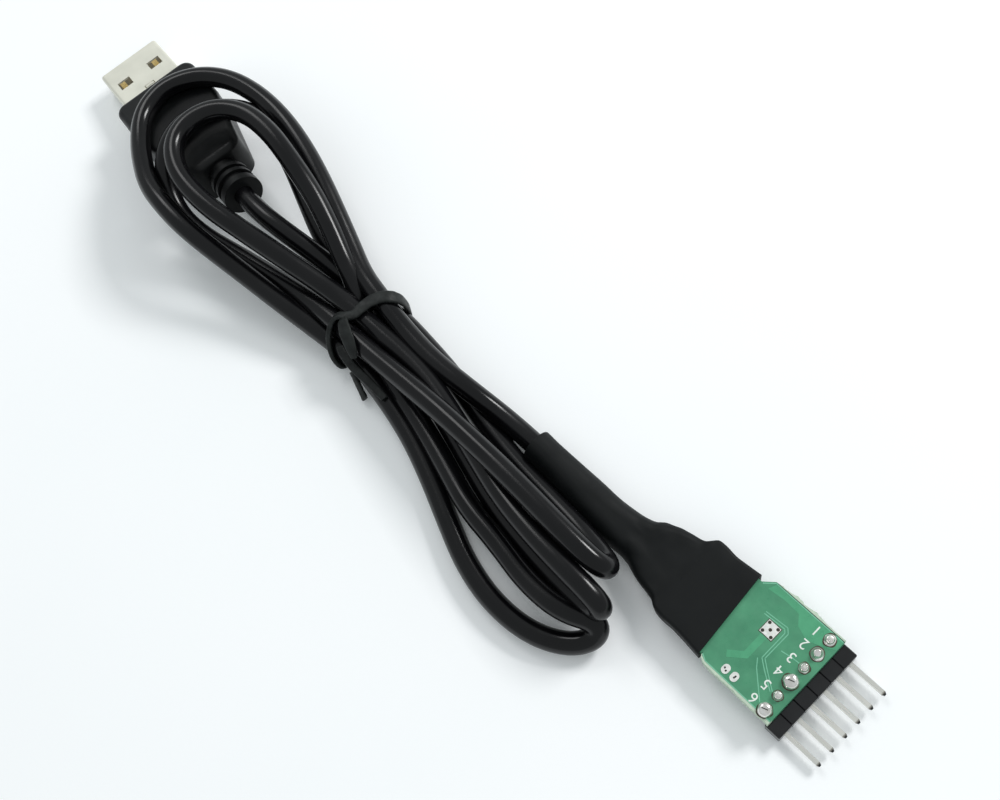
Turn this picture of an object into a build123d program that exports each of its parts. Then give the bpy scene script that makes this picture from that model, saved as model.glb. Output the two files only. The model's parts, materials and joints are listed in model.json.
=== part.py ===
from build123d import *
import math
import os

os.makedirs("parts", exist_ok=True)

# USB to serial adapter: a small board with a six-pin header, a shrink sleeve over its electronics, and a
# thin cable that is folded into a tied hank and ends in a USB plug. All sizes are in millimetres. X runs from
# the cable to the pin tips, Y across the board and Z up. The origin is on the table, under the middle of the
# module.

# Pin header
PIN_COUNT = 6
PIN_PITCH = 2.54
PIN_SIDE = 0.64
PIN_FREE = 5.8
PIN_TAPER = 0.18
PIN_BEND = 0.7
PIN_AXIS_Z = 1.27
LEG_SETBACK = 1.16
LEG_RISE = 0.95
HOUSING_DEPTH = 2.54
HOUSING_HEIGHT = 2.5
HOUSING_GROOVE = 0.12

# Circuit board
BOARD_LENGTH = 20.9
BOARD_THICKNESS = 1.6
BOARD_LEFT = 6.6
BOARD_RIGHT = 7.5
BOARD_OVERHANG = 0.4
REAR_STEP_LEFT = 0.25
REAR_STEP_RIGHT = 1.3
CORNER_RUN = 1.5
LEG_HOLE_RADIUS = 0.5

# Solder joints on the pin legs: foot radius, top radius and height, from pin 1 to pin 6
JOINTS = (
    (0.85, 0.5, 0.6), (0.95, 0.55, 0.9), (0.75, 0.5, 0.75), (1.05, 0.6, 0.4), (0.7, 0.5, 0.8), (1.0, 0.6, 0.4),
)

# Tinned pads on the top of the board
PAD_THICKNESS = 0.08
VIA_PAD_SIDE = 2.05
VIA_PAD_BACK = 10.1
VIA_PAD_Y = 2.0
LINK_PAD_LENGTH = 1.4
LINK_PAD_WIDTH = 1.1
LINK_PAD_PITCH = 1.5
LINK_PAD_BACK = 10.8
LINK_PAD_Y = -5.9

# Parts under the board, inside the sleeve
CHIP_LENGTH = 4.9
CHIP_WIDTH = 3.9
CHIP_HEIGHT = 1.35
CHIP_STANDOFF = 0.1
CHIP_SPAN = 6.0
CHIP_LEADS = 8
CHIP_LEAD_PITCH = 0.59
CHIP_LEAD_WIDTH = 0.25
CHIP_LEAD_THICKNESS = 0.18
CHIP_FRONT_GAP = 0.8
CHIP_REAR_GAP = 0.1
CAN_LENGTH = 3.2
CAN_WIDTH = 2.5
CAN_HEIGHT = 0.8
CAN_CORNER = 0.4
CAPACITOR_COUNT = 4
CAPACITOR_LENGTH = 1.6
CAPACITOR_WIDTH = 0.8
CAPACITOR_HEIGHT = 0.8
CAPACITOR_PITCH = 1.3

# Wires of the cable, soldered under the rear edge of the board
WIRE_RADIUS = 0.5
WIRE_BUNDLE = 0.58
WIRE_PITCH = 2.5
WIRE_FREE = 8.2
WIRE_STRAIGHT = 0.6
WIRE_LANDING = 0.95
WIRE_JOINT_LENGTH = 1.0
WIRE_JOINT_WIDTH = 1.5
WIRE_JOINT_HEIGHT = 0.9
WIRE_JOINT_SLOPE = 0.3

# Shrink sleeve
SLEEVE_BACK = 52.7
SLEEVE_MOUTH_BACK = 15.3
SLEEVE_MOUTH_SLANT = 5
SLEEVE_WALL = 0.4
SLEEVE_FIT = 0.05
SLEEVE_END_DIAMETER = 5.2
SLEEVE_UNDER_ROOM = 0.2

# Cable
CABLE_DIAMETER = 3.4
CABLE_END_Y = -0.75
SLEEVE_LEAD = 5.05
RELIEF_LEAD = 4.6

# USB plug, in its own frame: U to the tip, V across, W up, from the grip's front bottom edge
SHELL_WIDTH = 12.0
SHELL_HEIGHT = 4.5
SHELL_FREE = 11.9
SHELL_BURIED = 6.85
SHELL_WALL = 0.3
SHELL_CORNER = 0.6
SHELL_UNDER = 1.75
WINDOW_LENGTH = 2.2
WINDOW_WIDTH = 2.5
WINDOW_SPREAD = 3.2
WINDOW_FROM_TIP = 5.5
LATCH_LENGTH = 0.8
LATCH_WIDTH = 2.0
LATCH_FROM_GRIP = 1.75
TONGUE_THICKNESS = 1.95
TONGUE_SIDE_FIT = 0.05
TONGUE_SETBACK = 0.5
CONTACT_WIDTH = 1.0
CONTACT_THICKNESS = 0.25
CONTACT_SINK = 0.2
CONTACT_SETBACKS = (1.1, 2.1, 2.1, 1.1)
CONTACT_PLACES = (-3.5, -1.0, 1.0, 3.5)
GRIP_HEIGHT = 8.0
GRIP_HALF_WIDTH = 8.0
GRIP_FULL_LENGTH = 11.5
GRIP_TAPER_LENGTH = 10.1
GRIP_TAPER_HALF_WIDTH = 5.85
GRIP_NECK_LENGTH = 4.0
GRIP_NECK_HALF_WIDTH = 5.0
GRIP_CORNER = 2.0
GRIP_NECK_CORNER = 2.8
GRIP_EDGE = 1.1
GRIP_UNDER_EDGE = 0.6
RELIEF_LENGTH = 6.9
RELIEF_RADIUS = 2.8
RELIEF_RING_RADIUS = 3.4
RELIEF_RING_WIDTH = 0.8
RELIEF_RING_PITCH = 1.65
RELIEF_RINGS = 2
RELIEF_FLANGE_RADIUS = 3.45
RELIEF_FLANGE_WIDTH = 1.3

# Where the plug lies: it rests on its tip and on the front of its grip
PLUG_X = -125.88
PLUG_Y = -0.61
PLUG_YAW = 174.14
plug_pitch = math.degrees(math.atan(SHELL_UNDER / SHELL_FREE))

# Tie round the waist of the hank
TIE_WIDTH = 2.1
TIE_THICKNESS = 1.1
TIE_SLANT = 27.7
TIE_X = -61.5
TIE_FIT = 0.1
WAIST_LEFT = -11.9
WAIST_RIGHT = 1.2
WAIST_BOTTOM = 1.2
WAIST_TOP = 7.9
WAIST_CORNER = 1.7
WAIST_REAR = -68.0
WAIST_FRONT = -55.0

# Places that follow from the sizes above
module_length = SLEEVE_BACK + PIN_FREE
tip_x = module_length / 2
header_front = tip_x - PIN_FREE
header_rear = header_front - HOUSING_DEPTH
leg_x = header_rear - LEG_SETBACK
sleeve_end = header_front - SLEEVE_BACK
sleeve_mouth = header_front - SLEEVE_MOUTH_BACK
board_front = header_rear + BOARD_OVERHANG
board_rear = board_front - BOARD_LENGTH
board_bottom = HOUSING_HEIGHT
board_top = board_bottom + BOARD_THICKNESS
rear_left = -BOARD_LEFT + REAR_STEP_LEFT
rear_right = BOARD_RIGHT - REAR_STEP_RIGHT
wire_end = board_rear + WIRE_LANDING
chip_rear = wire_end + WIRE_JOINT_LENGTH + CHIP_REAR_GAP
chip_x = chip_rear + CHIP_LENGTH / 2
step_x = chip_rear + CHIP_LENGTH + CHIP_FRONT_GAP
pin_places = [(PIN_COUNT - 1) / 2 * PIN_PITCH - n * PIN_PITCH for n in range(PIN_COUNT)]
cable_end_z = SLEEVE_END_DIAMETER / 2
jacket_end = board_rear - WIRE_FREE


def save(piece, label):
    piece.part.label = label
    export_step(piece.part, "parts/" + label + ".step")


# Board: a full width front, a narrower rear that slips into the sleeve, and a hole for each pin's leg
with BuildPart() as board:
    with BuildSketch(Plane.XY.offset(board_bottom)):
        with BuildLine():
            Polyline(
                (board_front, -BOARD_LEFT),
                (board_front, BOARD_RIGHT),
                (step_x + CORNER_RUN, BOARD_RIGHT),
                (step_x, rear_right),
                (board_rear, rear_right),
                (board_rear, rear_left),
                (step_x, rear_left),
                (step_x + REAR_STEP_LEFT, -BOARD_LEFT),
                close=True,
            )
        make_face()
        with Locations([(leg_x, y) for y in pin_places]):
            Circle(LEG_HOLE_RADIUS, mode=Mode.SUBTRACT)
    extrude(amount=BOARD_THICKNESS)
save(board, "board")

# Square pad, and the two oval link pads
with BuildPart() as via_pad:
    with BuildSketch(Plane.XY.offset(board_top)):
        with Locations((header_front - VIA_PAD_BACK, VIA_PAD_Y)):
            Rectangle(VIA_PAD_SIDE, VIA_PAD_SIDE)
    extrude(amount=PAD_THICKNESS)
save(via_pad, "via_pad")

for n in range(2):
    with BuildPart() as link_pad:
        with BuildSketch(Plane.XY.offset(board_top)):
            with Locations((header_front - LINK_PAD_BACK + n * LINK_PAD_PITCH, LINK_PAD_Y)):
                SlotOverall(LINK_PAD_LENGTH, LINK_PAD_WIDTH, rotation=90)
        extrude(amount=PAD_THICKNESS)
    save(link_pad, f"link_pad_{n + 1}")

# Header housing: one chamfered block for each pin, run together, with a square passage through each
with BuildPart() as header_housing:
    for y in pin_places:
        with BuildPart(mode=Mode.PRIVATE) as block:
            with Locations(((header_front + header_rear) / 2, y, HOUSING_HEIGHT / 2)):
                Box(HOUSING_DEPTH, PIN_PITCH, HOUSING_HEIGHT)
            ends = block.faces().filter_by(Axis.Y)
            chamfer(ends.edges(), length=HOUSING_GROOVE)
        add(block)
    with Locations([((header_front + header_rear) / 2, y, PIN_AXIS_Z) for y in pin_places]):
        Box(2 * HOUSING_DEPTH, PIN_SIDE, PIN_SIDE, mode=Mode.SUBTRACT)
save(header_housing, "header_housing")

# Pins: square wire, bent up through the board, with a tapered tip
for n, y in enumerate(pin_places):
    with BuildPart() as header_pin:
        with BuildLine() as pin_path:
            FilletPolyline(
                (tip_x, y, PIN_AXIS_Z),
                (leg_x, y, PIN_AXIS_Z),
                (leg_x, y, board_top + LEG_RISE),
                radius=PIN_BEND,
            )
        with BuildSketch(Plane(origin=(tip_x, y, PIN_AXIS_Z), x_dir=(0, 1, 0), z_dir=(-1, 0, 0))):
            Rectangle(PIN_SIDE, PIN_SIDE)
        sweep()
        chamfer(header_pin.faces().sort_by(Axis.X)[-1].edges(), length=PIN_TAPER * 2, length2=PIN_TAPER)
        chamfer(header_pin.faces().sort_by(Axis.Z)[-1].edges(), length=PIN_TAPER)
    save(header_pin, f"header_pin_{n + 1}")

# Solder joints: a cone on the board, and the solder in the hole round the leg
for n, y in enumerate(pin_places):
    foot, top, height = JOINTS[n]
    with BuildPart() as solder_joint:
        with Locations((leg_x, y, board_top + height / 2)):
            Cone(foot, top, height)
        with Locations((leg_x, y, (board_bottom + board_top) / 2)):
            Cylinder(LEG_HOLE_RADIUS, BOARD_THICKNESS)
        with Locations((leg_x, y, board_top)):
            Box(PIN_SIDE, PIN_SIDE, 4 * BOARD_THICKNESS, mode=Mode.SUBTRACT)
    save(solder_joint, f"solder_joint_{n + 1}")

# Chip under the board, with a row of bent leads on each side
chip_top = board_bottom - CHIP_STANDOFF
with BuildPart() as chip_body:
    with Locations((chip_x, 0, chip_top - CHIP_HEIGHT / 2)):
        Box(CHIP_LENGTH, CHIP_WIDTH, CHIP_HEIGHT)
save(chip_body, "chip_body")

lead_places = [chip_x + (n - (CHIP_LEADS - 1) / 2) * CHIP_LEAD_PITCH for n in range(CHIP_LEADS)]
for side, label in ((-1, "chip_leads_left"), (1, "chip_leads_right")):
    body_y = side * CHIP_WIDTH / 2
    foot_y = side * CHIP_SPAN / 2
    knee_y = (body_y + foot_y) / 2
    shoulder_z = chip_top - CHIP_HEIGHT / 2
    with BuildPart() as chip_leads:
        for x in lead_places:
            with BuildSketch(Plane(origin=(x - CHIP_LEAD_WIDTH / 2, 0, 0), x_dir=(0, 1, 0), z_dir=(1, 0, 0))):
                with BuildLine():
                    Polyline(
                        (body_y, shoulder_z),
                        (knee_y, shoulder_z),
                        (knee_y, board_bottom - CHIP_LEAD_THICKNESS),
                        (foot_y, board_bottom - CHIP_LEAD_THICKNESS),
                        (foot_y, board_bottom),
                        (knee_y - side * CHIP_LEAD_THICKNESS, board_bottom),
                        (knee_y - side * CHIP_LEAD_THICKNESS, shoulder_z + CHIP_LEAD_THICKNESS),
                        (body_y, shoulder_z + CHIP_LEAD_THICKNESS),
                        close=True,
                    )
                make_face()
            extrude(amount=CHIP_LEAD_WIDTH)
    save(chip_leads, label)

# Crystal can and four capacitors beside the chip
beside_right = (CHIP_SPAN / 2 + rear_right) / 2
beside_left = (rear_left - CHIP_SPAN / 2) / 2
with BuildPart() as crystal_can:
    with Locations((chip_x, beside_right, board_bottom - CAN_HEIGHT / 2)):
        Box(CAN_LENGTH, CAN_WIDTH, CAN_HEIGHT)
    fillet(crystal_can.edges().filter_by(Axis.Z), radius=CAN_CORNER)
save(crystal_can, "crystal_can")

for n in range(CAPACITOR_COUNT):
    capacitor_x = chip_x + (n - (CAPACITOR_COUNT - 1) / 2) * CAPACITOR_PITCH
    with BuildPart() as capacitor:
        with Locations((capacitor_x, beside_left, board_bottom - CAPACITOR_HEIGHT / 2)):
            Box(CAPACITOR_WIDTH, CAPACITOR_LENGTH, CAPACITOR_HEIGHT)
    save(capacitor, f"capacitor_{n + 1}")

# Cable end in the sleeve, and its four wires fanned out to the rear edge of the board
cable_end_x = (sleeve_end + jacket_end) / 2
with BuildPart() as cable_end:
    with Locations((cable_end_x, CABLE_END_Y, cable_end_z)):
        Cylinder(CABLE_DIAMETER / 2, jacket_end - sleeve_end, rotation=(0, 90, 0))
save(cable_end, "cable_end")

wire_z = board_bottom - WIRE_RADIUS
# Each wire: its name, its place along the board's edge, and its side and level in the cable
WIRES = (
    ("wire_black", -1.5, -1, -1),
    ("wire_white", -0.5, -1, 1),
    ("wire_green", 0.5, 1, 1),
    ("wire_red", 1.5, 1, -1),
)
for label, order, side, level in WIRES:
    start = Vector(jacket_end, CABLE_END_Y + side * WIRE_BUNDLE, cable_end_z + level * WIRE_BUNDLE)
    bend = Vector(board_rear - WIRE_STRAIGHT, order * WIRE_PITCH, wire_z)
    with BuildPart() as wire:
        with BuildSketch(Plane(origin=start, x_dir=(0, 1, 0), z_dir=(1, 0, 0))):
            Circle(WIRE_RADIUS)
        extrude(amount=(bend - start).length, dir=bend - start)
        with BuildSketch(Plane(origin=bend, x_dir=(0, 1, 0), z_dir=(1, 0, 0))):
            Circle(WIRE_RADIUS)
        extrude(amount=WIRE_STRAIGHT + WIRE_LANDING)
    save(wire, label)

joint_x = wire_end + WIRE_JOINT_LENGTH / 2
for n, wire_row in enumerate(WIRES):
    with BuildPart() as wire_joint:
        with Locations((joint_x, wire_row[1] * WIRE_PITCH, board_bottom - WIRE_JOINT_HEIGHT / 2)):
            Box(WIRE_JOINT_LENGTH, WIRE_JOINT_WIDTH, WIRE_JOINT_HEIGHT)
        chamfer(wire_joint.faces().sort_by(Axis.Z)[0].edges(), length=WIRE_JOINT_SLOPE)
    save(wire_joint, f"wire_joint_{n + 1}")


# Shrink sleeve: lofted from a thick end on the cable to a thin flat mouth round the board, with cut corners
def sleeve_section(x, left, right, low, high, upper_cut, lower_cut, slant=0):
    across = Vector(-math.sin(math.radians(slant)), math.cos(math.radians(slant)), 0)
    plane = Plane(origin=(x, 0, 0), x_dir=across, z_dir=across.cross(Vector(0, 0, 1)))
    with BuildSketch(plane) as section:
        with Locations(((left + right) / 2, (low + high) / 2)):
            Rectangle(right - left, high - low)
        chamfer(section.vertices().group_by(Axis.Y)[-1], length=upper_cut)
        chamfer(section.vertices().group_by(Axis.Y)[0], length=lower_cut)
    return section.sketch


under_z = board_bottom - CHIP_STANDOFF - CHIP_HEIGHT - SLEEVE_UNDER_ROOM
over_z = board_top + SLEEVE_FIT
bore = CABLE_DIAMETER / 2 + SLEEVE_FIT
end_radius = SLEEVE_END_DIAMETER / 2
end_wall = end_radius - bore
corner_growth = 2 - math.sqrt(2)
end_cut = bore * corner_growth
end_hollow = (CABLE_END_Y - bore, CABLE_END_Y + bore, cable_end_z - bore, cable_end_z + bore)
# Each row: x, left, right, low and high of the hollow, its upper and lower corner cuts, and the wall there
SLEEVE_ROWS = (
    (sleeve_end, *end_hollow, end_cut, end_cut, end_wall),
    (board_rear - 11.4, -3.55, 1.3, 0.75, 4.4, 1.0, 0.9, 0.7),
    (board_rear - 7.4, -3.8, 2.9, 0.65, 4.35, 1.0, 0.9, 0.6),
    (board_rear - 5.3, -4.45, 3.85, 0.65, 4.25, 0.8, 0.9, 0.5),
    (board_rear - 1.9, -5.1, 4.75, 0.65, 4.2, 0.5, 0.9, 0.45),
    (board_rear - 0.1, rear_left - 0.08, rear_right + 0.08, under_z, over_z, 0.1, 0.9, SLEEVE_WALL),
    (sleeve_mouth, rear_left - 0.35, rear_right + 0.3, under_z, over_z, 0.1, 0.9, SLEEVE_WALL),
)
with BuildPart() as heat_shrink_sleeve:
    outer_sections = []
    inner_sections = []
    for x, left, right, low, high, upper, lower, wall in SLEEVE_ROWS:
        slant = SLEEVE_MOUTH_SLANT if x == sleeve_mouth else 0
        inner_sections.append(sleeve_section(x, left, right, low, high, upper, lower, slant))
        cuts = (upper + wall * corner_growth, lower + wall * corner_growth)
        outer = (x, left - wall, right + wall, low - wall, high + wall, *cuts, slant)
        outer_sections.append(sleeve_section(*outer))
    loft(outer_sections, ruled=True)
    loft(inner_sections, ruled=True, mode=Mode.SUBTRACT)
save(heat_shrink_sleeve, "heat_shrink_sleeve")

# USB plug. Each of its pieces is drawn in the plug's own frame and then laid where the plug lies.
yaw = math.radians(PLUG_YAW)
pitch = math.radians(plug_pitch)
plug_forward = Vector(math.cos(yaw) * math.cos(pitch), math.sin(yaw) * math.cos(pitch), -math.sin(pitch))
plug_upward = Vector(math.cos(yaw) * math.sin(pitch), math.sin(yaw) * math.sin(pitch), math.cos(pitch))
plug_frame = Plane(origin=(PLUG_X, PLUG_Y, 0), x_dir=plug_forward, z_dir=plug_upward)
shell_middle = SHELL_UNDER + SHELL_HEIGHT / 2
grip_middle = GRIP_HEIGHT / 2
across_plug = Plane(origin=(0, 0, 0), x_dir=(0, 1, 0), z_dir=(1, 0, 0))


def lay_in_place(blank, label):
    with BuildPart() as laid:
        with Locations(plug_frame.location):
            add(blank.part)
    save(laid, label)
    return laid


with BuildPart() as shell_blank:
    with BuildSketch(across_plug.offset(-SHELL_BURIED)):
        with Locations((0, shell_middle)):
            RectangleRounded(SHELL_WIDTH, SHELL_HEIGHT, SHELL_CORNER)
            RectangleRounded(
                SHELL_WIDTH - 2 * SHELL_WALL,
                SHELL_HEIGHT - 2 * SHELL_WALL,
                SHELL_CORNER - SHELL_WALL,
                mode=Mode.SUBTRACT,
            )
    extrude(amount=SHELL_BURIED + SHELL_FREE)
    with Locations([(SHELL_FREE - WINDOW_FROM_TIP, v, shell_middle) for v in (-WINDOW_SPREAD, WINDOW_SPREAD)]):
        Box(WINDOW_LENGTH, WINDOW_WIDTH, SHELL_HEIGHT + 1, mode=Mode.SUBTRACT)
    with Locations((LATCH_FROM_GRIP + LATCH_LENGTH / 2, 0, SHELL_UNDER + SHELL_HEIGHT)):
        Box(LATCH_LENGTH, LATCH_WIDTH, 2 * SHELL_WALL + 0.2, mode=Mode.SUBTRACT)
plug_shell = lay_in_place(shell_blank, "plug_shell")

tongue_half = SHELL_WIDTH / 2 - SHELL_CORNER - TONGUE_SIDE_FIT
tongue_low = SHELL_UNDER + SHELL_WALL
tongue_high = tongue_low + TONGUE_THICKNESS
tongue_front = SHELL_FREE - TONGUE_SETBACK
inner_top = SHELL_UNDER + SHELL_HEIGHT - SHELL_WALL
contact_bottom = tongue_high - CONTACT_SINK
with BuildPart() as insulator_blank:
    with Locations(((tongue_front - SHELL_BURIED) / 2, 0, (tongue_low + tongue_high) / 2)):
        Box(tongue_front + SHELL_BURIED, 2 * tongue_half, TONGUE_THICKNESS)
    with Locations((-SHELL_BURIED / 2, 0, (tongue_low + inner_top) / 2)):
        Box(SHELL_BURIED, 2 * tongue_half, inner_top - tongue_low)
    for v, setback in zip(CONTACT_PLACES, CONTACT_SETBACKS):
        with Locations(((tongue_front - setback) / 2, v, contact_bottom + CONTACT_THICKNESS / 2)):
            Box(tongue_front - setback, CONTACT_WIDTH, CONTACT_THICKNESS, mode=Mode.SUBTRACT)
plug_insulator = lay_in_place(insulator_blank, "plug_insulator")

for n, (v, setback) in enumerate(zip(CONTACT_PLACES, CONTACT_SETBACKS)):
    with BuildPart() as contact_blank:
        with Locations(((tongue_front - setback) / 2, v, contact_bottom + CONTACT_THICKNESS / 2)):
            Box(tongue_front - setback, CONTACT_WIDTH, CONTACT_THICKNESS)
        front = contact_blank.faces().sort_by(Axis.X)[-1]
        chamfer(front.edges().sort_by(Axis.Z)[-1], length=CONTACT_THICKNESS * 0.6)
    lay_in_place(contact_blank, f"plug_contact_{n + 1}")

# Grip: a moulded body that narrows to a neck, a ringed strain relief, and a pocket for the shell
taper_end = -GRIP_FULL_LENGTH - GRIP_TAPER_LENGTH
neck_end = taper_end - GRIP_NECK_LENGTH
relief_end = neck_end - RELIEF_LENGTH
flange_start = relief_end + RELIEF_FLANGE_WIDTH
with BuildPart() as grip_blank:
    with BuildSketch():
        with BuildLine() as half_outline:
            Polyline(
                (0, 0),
                (0, GRIP_HALF_WIDTH),
                (-GRIP_FULL_LENGTH, GRIP_HALF_WIDTH),
                (taper_end, GRIP_TAPER_HALF_WIDTH),
                (neck_end, GRIP_NECK_HALF_WIDTH),
                (neck_end, 0),
            )
            mirror(about=Plane.XZ)
        make_face()
    extrude(amount=GRIP_HEIGHT)
    upright = grip_blank.edges().filter_by(Axis.Z)
    fillet(upright.group_by(Axis.X)[-1], radius=GRIP_CORNER)
    fillet(upright.group_by(Axis.X)[0], radius=GRIP_NECK_CORNER)
    level = grip_blank.faces().filter_by(Axis.Z).sort_by(Axis.Z)
    fillet(level[-1].edges(), radius=GRIP_EDGE)
    chamfer(level[0].edges(), length=GRIP_UNDER_EDGE)
    ring_places = [flange_start + RELIEF_RING_PITCH * (n + 1) for n in range(RELIEF_RINGS)]
    rings = [(u, RELIEF_RING_WIDTH, RELIEF_RING_RADIUS) for u in ring_places]
    rings.append((relief_end + RELIEF_FLANGE_WIDTH / 2, RELIEF_FLANGE_WIDTH, RELIEF_FLANGE_RADIUS))
    rings.append((neck_end - RELIEF_LENGTH / 2, RELIEF_LENGTH, RELIEF_RADIUS))
    for u, width, radius in rings:
        with Locations((u, 0, grip_middle)):
            Cylinder(radius, width, rotation=(0, 90, 0))
    with BuildSketch(across_plug.offset(-SHELL_BURIED)):
        with Locations((0, shell_middle)):
            RectangleRounded(SHELL_WIDTH, SHELL_HEIGHT, SHELL_CORNER)
    extrude(amount=SHELL_BURIED, mode=Mode.SUBTRACT)
plug_grip = lay_in_place(grip_blank, "plug_grip")


# Hank: the outer shape of the folded cable, as one closed solid. Its rear lobe is a fan of loops that lies over
# the plug's grip, round an open eye. Its front lobe is three folds side by side, with a slit in the low one.
def lobe(points, profile):
    height = max(z for x, z in profile)
    reach = max(abs(y) for x, y in points)
    with BuildPart() as solid:
        with BuildSketch():
            with BuildLine():
                Polyline(*points, close=True)
            make_face()
        extrude(amount=height)
        with BuildSketch(Plane.XZ.offset(-reach)):
            with BuildLine():
                Polyline(*profile, close=True)
            make_face()
        extrude(amount=2 * reach, mode=Mode.INTERSECT)
    return solid.part


GRIP_CLEARANCE = 0.15
OUTER_LOOP = (
    (-66.0, 0.6), (-76.6, 5.0), (-85.2, 7.8), (-93.0, 10.0), (-100.8, 11.4), (-108.0, 11.4), (-114.5, 9.9),
    (-119.8, 6.2), (-122.6, 0.6), (-121.8, -5.4), (-118.1, -10.1), (-111.0, -14.1), (-102.5, -15.7),
    (-93.2, -15.6), (-80.4, -14.0), (-66.0, -12.0),
)
INNER_LOOP = (
    (-66.0, 0.0), (-80.0, 3.7), (-88.0, 5.5), (-98.0, 6.9), (-104.0, 5.9), (-108.0, 2.4), (-109.5, -2.2),
    (-107.6, -7.2), (-103.0, -10.6), (-96.0, -11.7), (-86.3, -10.4), (-75.0, -7.4), (-66.0, -7.0),
)
EYE = (
    (-78.0, -2.4), (-80.5, -4.9), (-86.0, -7.0), (-93.5, -8.4), (-100.0, -8.1), (-104.6, -5.8), (-105.9, -2.4),
    (-104.6, 0.9), (-101.0, 2.9), (-94.0, 3.0), (-86.0, 1.3), (-80.5, -0.2),
)
REAR_UNDERSIDE = ((-62.0, 1.2), (-70.0, 1.3), (-93.4, 5.7), (-105.0, 8.1), (-124.0, 8.9))
OUTER_TOP = ((-124.0, 12.3), (-96.0, 12.3), (-76.0, 9.3), (-66.0, 7.9), (-62.0, 7.9))
INNER_TOP = ((-124.0, 16.7), (-98.0, 16.5), (-84.4, 13.9), (-76.5, 10.6), (-69.0, 8.2), (-62.0, 7.9))
TALL_FOLDS = (
    (-58.0, -3.6), (-50.0, -4.2), (-36.0, -3.7), (-18.0, -4.6), (-9.0, -5.2), (-6.2, -7.0), (-4.1, -9.6),
    (-3.6, -11.8), (-5.0, -13.6), (-10.3, -14.6), (-22.2, -13.6), (-31.0, -11.8), (-42.0, -9.4), (-58.0, -9.0),
)
TALL_TOP = ((-62.0, 0.0), (-62.0, 7.9), (-42.5, 10.1), (-24.4, 12.0), (-13.0, 12.0), (-2.0, 9.4), (-2.0, 0.0))
LOW_FOLD = (
    (-58.0, -11.9), (-45.6, -14.3), (-34.7, -17.9), (-25.2, -21.6), (-20.5, -22.9), (-14.5, -23.1),
    (-9.0, -22.2), (-4.6, -20.2), (-2.0, -17.2), (-1.6, -13.8), (-4.6, -10.4), (-16.0, -9.5), (-34.0, -8.0),
    (-58.0, -7.0),
)
LOW_TOP = ((-62.0, 0.0), (-62.0, 5.0), (-36.0, 5.0), (-20.0, 6.2), (-1.0, 6.2), (-1.0, 0.0))
SLIT_LENGTH = 22.0
SLIT_WIDTH = 1.9
SLIT_MIDDLE = (-20.5, -17.6)
SLIT_TURN = -6
hank_height = max(z for x, z in INNER_TOP)
waist_width = WAIST_RIGHT - WAIST_LEFT
waist_height = WAIST_TOP - WAIST_BOTTOM
waist_middle = ((WAIST_LEFT + WAIST_RIGHT) / 2, (WAIST_BOTTOM + WAIST_TOP) / 2)
waist_plane = Plane(origin=(WAIST_REAR, 0, 0), x_dir=(0, 1, 0), z_dir=(1, 0, 0))
tie_plane = Plane(origin=(TIE_X, waist_middle[0], waist_middle[1])).rotated((0, 0, -TIE_SLANT))

with BuildPart() as waist:
    with BuildSketch(waist_plane):
        with Locations(waist_middle):
            RectangleRounded(waist_width, waist_height, WAIST_CORNER)
    extrude(amount=WAIST_FRONT - WAIST_REAR)

with BuildPart() as tie_room:
    with Locations(tie_plane.location):
        Box(TIE_WIDTH + 2 * TIE_FIT, 3 * waist_width, 3 * waist_width)
    add(waist, mode=Mode.SUBTRACT)

with BuildPart() as plug_room:
    with Locations(plug_frame.location * Location(((relief_end - 1) / 2, 0, GRIP_HEIGHT + GRIP_CLEARANCE))):
        grip_room = 2 * (GRIP_HALF_WIDTH + GRIP_CLEARANCE)
        Box(1 - relief_end, grip_room, hank_height, align=(Align.CENTER, Align.CENTER, Align.MAX))

with BuildPart() as cable_hank:
    add(lobe(OUTER_LOOP, REAR_UNDERSIDE + OUTER_TOP))
    add(lobe(INNER_LOOP, REAR_UNDERSIDE + INNER_TOP))
    with BuildSketch():
        with BuildLine():
            Polyline(*EYE, close=True)
        make_face()
    extrude(amount=hank_height, mode=Mode.SUBTRACT)
    add(lobe(TALL_FOLDS, TALL_TOP))
    add(lobe(LOW_FOLD, LOW_TOP))
    with BuildSketch():
        with Locations(Location((SLIT_MIDDLE[0], SLIT_MIDDLE[1], 0), (0, 0, SLIT_TURN))):
            SlotOverall(SLIT_LENGTH, SLIT_WIDTH)
    extrude(amount=hank_height, mode=Mode.SUBTRACT)
    add(waist)
    add(tie_room, mode=Mode.SUBTRACT)
    add(plug_room, mode=Mode.SUBTRACT)
save(cable_hank, "cable_hank")

# Tie: a rubbery strap round the waist on a slant, twisted once, with two loose tails
with BuildPart() as cable_tie:
    with BuildSketch(waist_plane):
        with Locations(waist_middle):
            RectangleRounded(
                waist_width + 2 * TIE_THICKNESS,
                waist_height + 2 * TIE_THICKNESS,
                WAIST_CORNER + TIE_THICKNESS,
            )
            RectangleRounded(waist_width, waist_height, WAIST_CORNER, mode=Mode.SUBTRACT)
    extrude(amount=WAIST_FRONT - WAIST_REAR)
    with Locations(tie_plane.location):
        Box(TIE_WIDTH, 3 * waist_width, 3 * waist_width, mode=Mode.INTERSECT)
save(cable_tie, "cable_tie")


# Cable: a round tube along each stretch that isn't in the hank
def arc_radii(points):
    corners = [Vector(*p) for p in points]
    radii = []
    for before, corner, after in zip(corners, corners[1:], corners[2:]):
        turn = math.radians((corner - before).get_angle(after - corner))
        run = min((corner - before).length, (after - corner).length)
        radii.append(0.45 * run / math.tan(turn / 2))
    return radii


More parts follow.
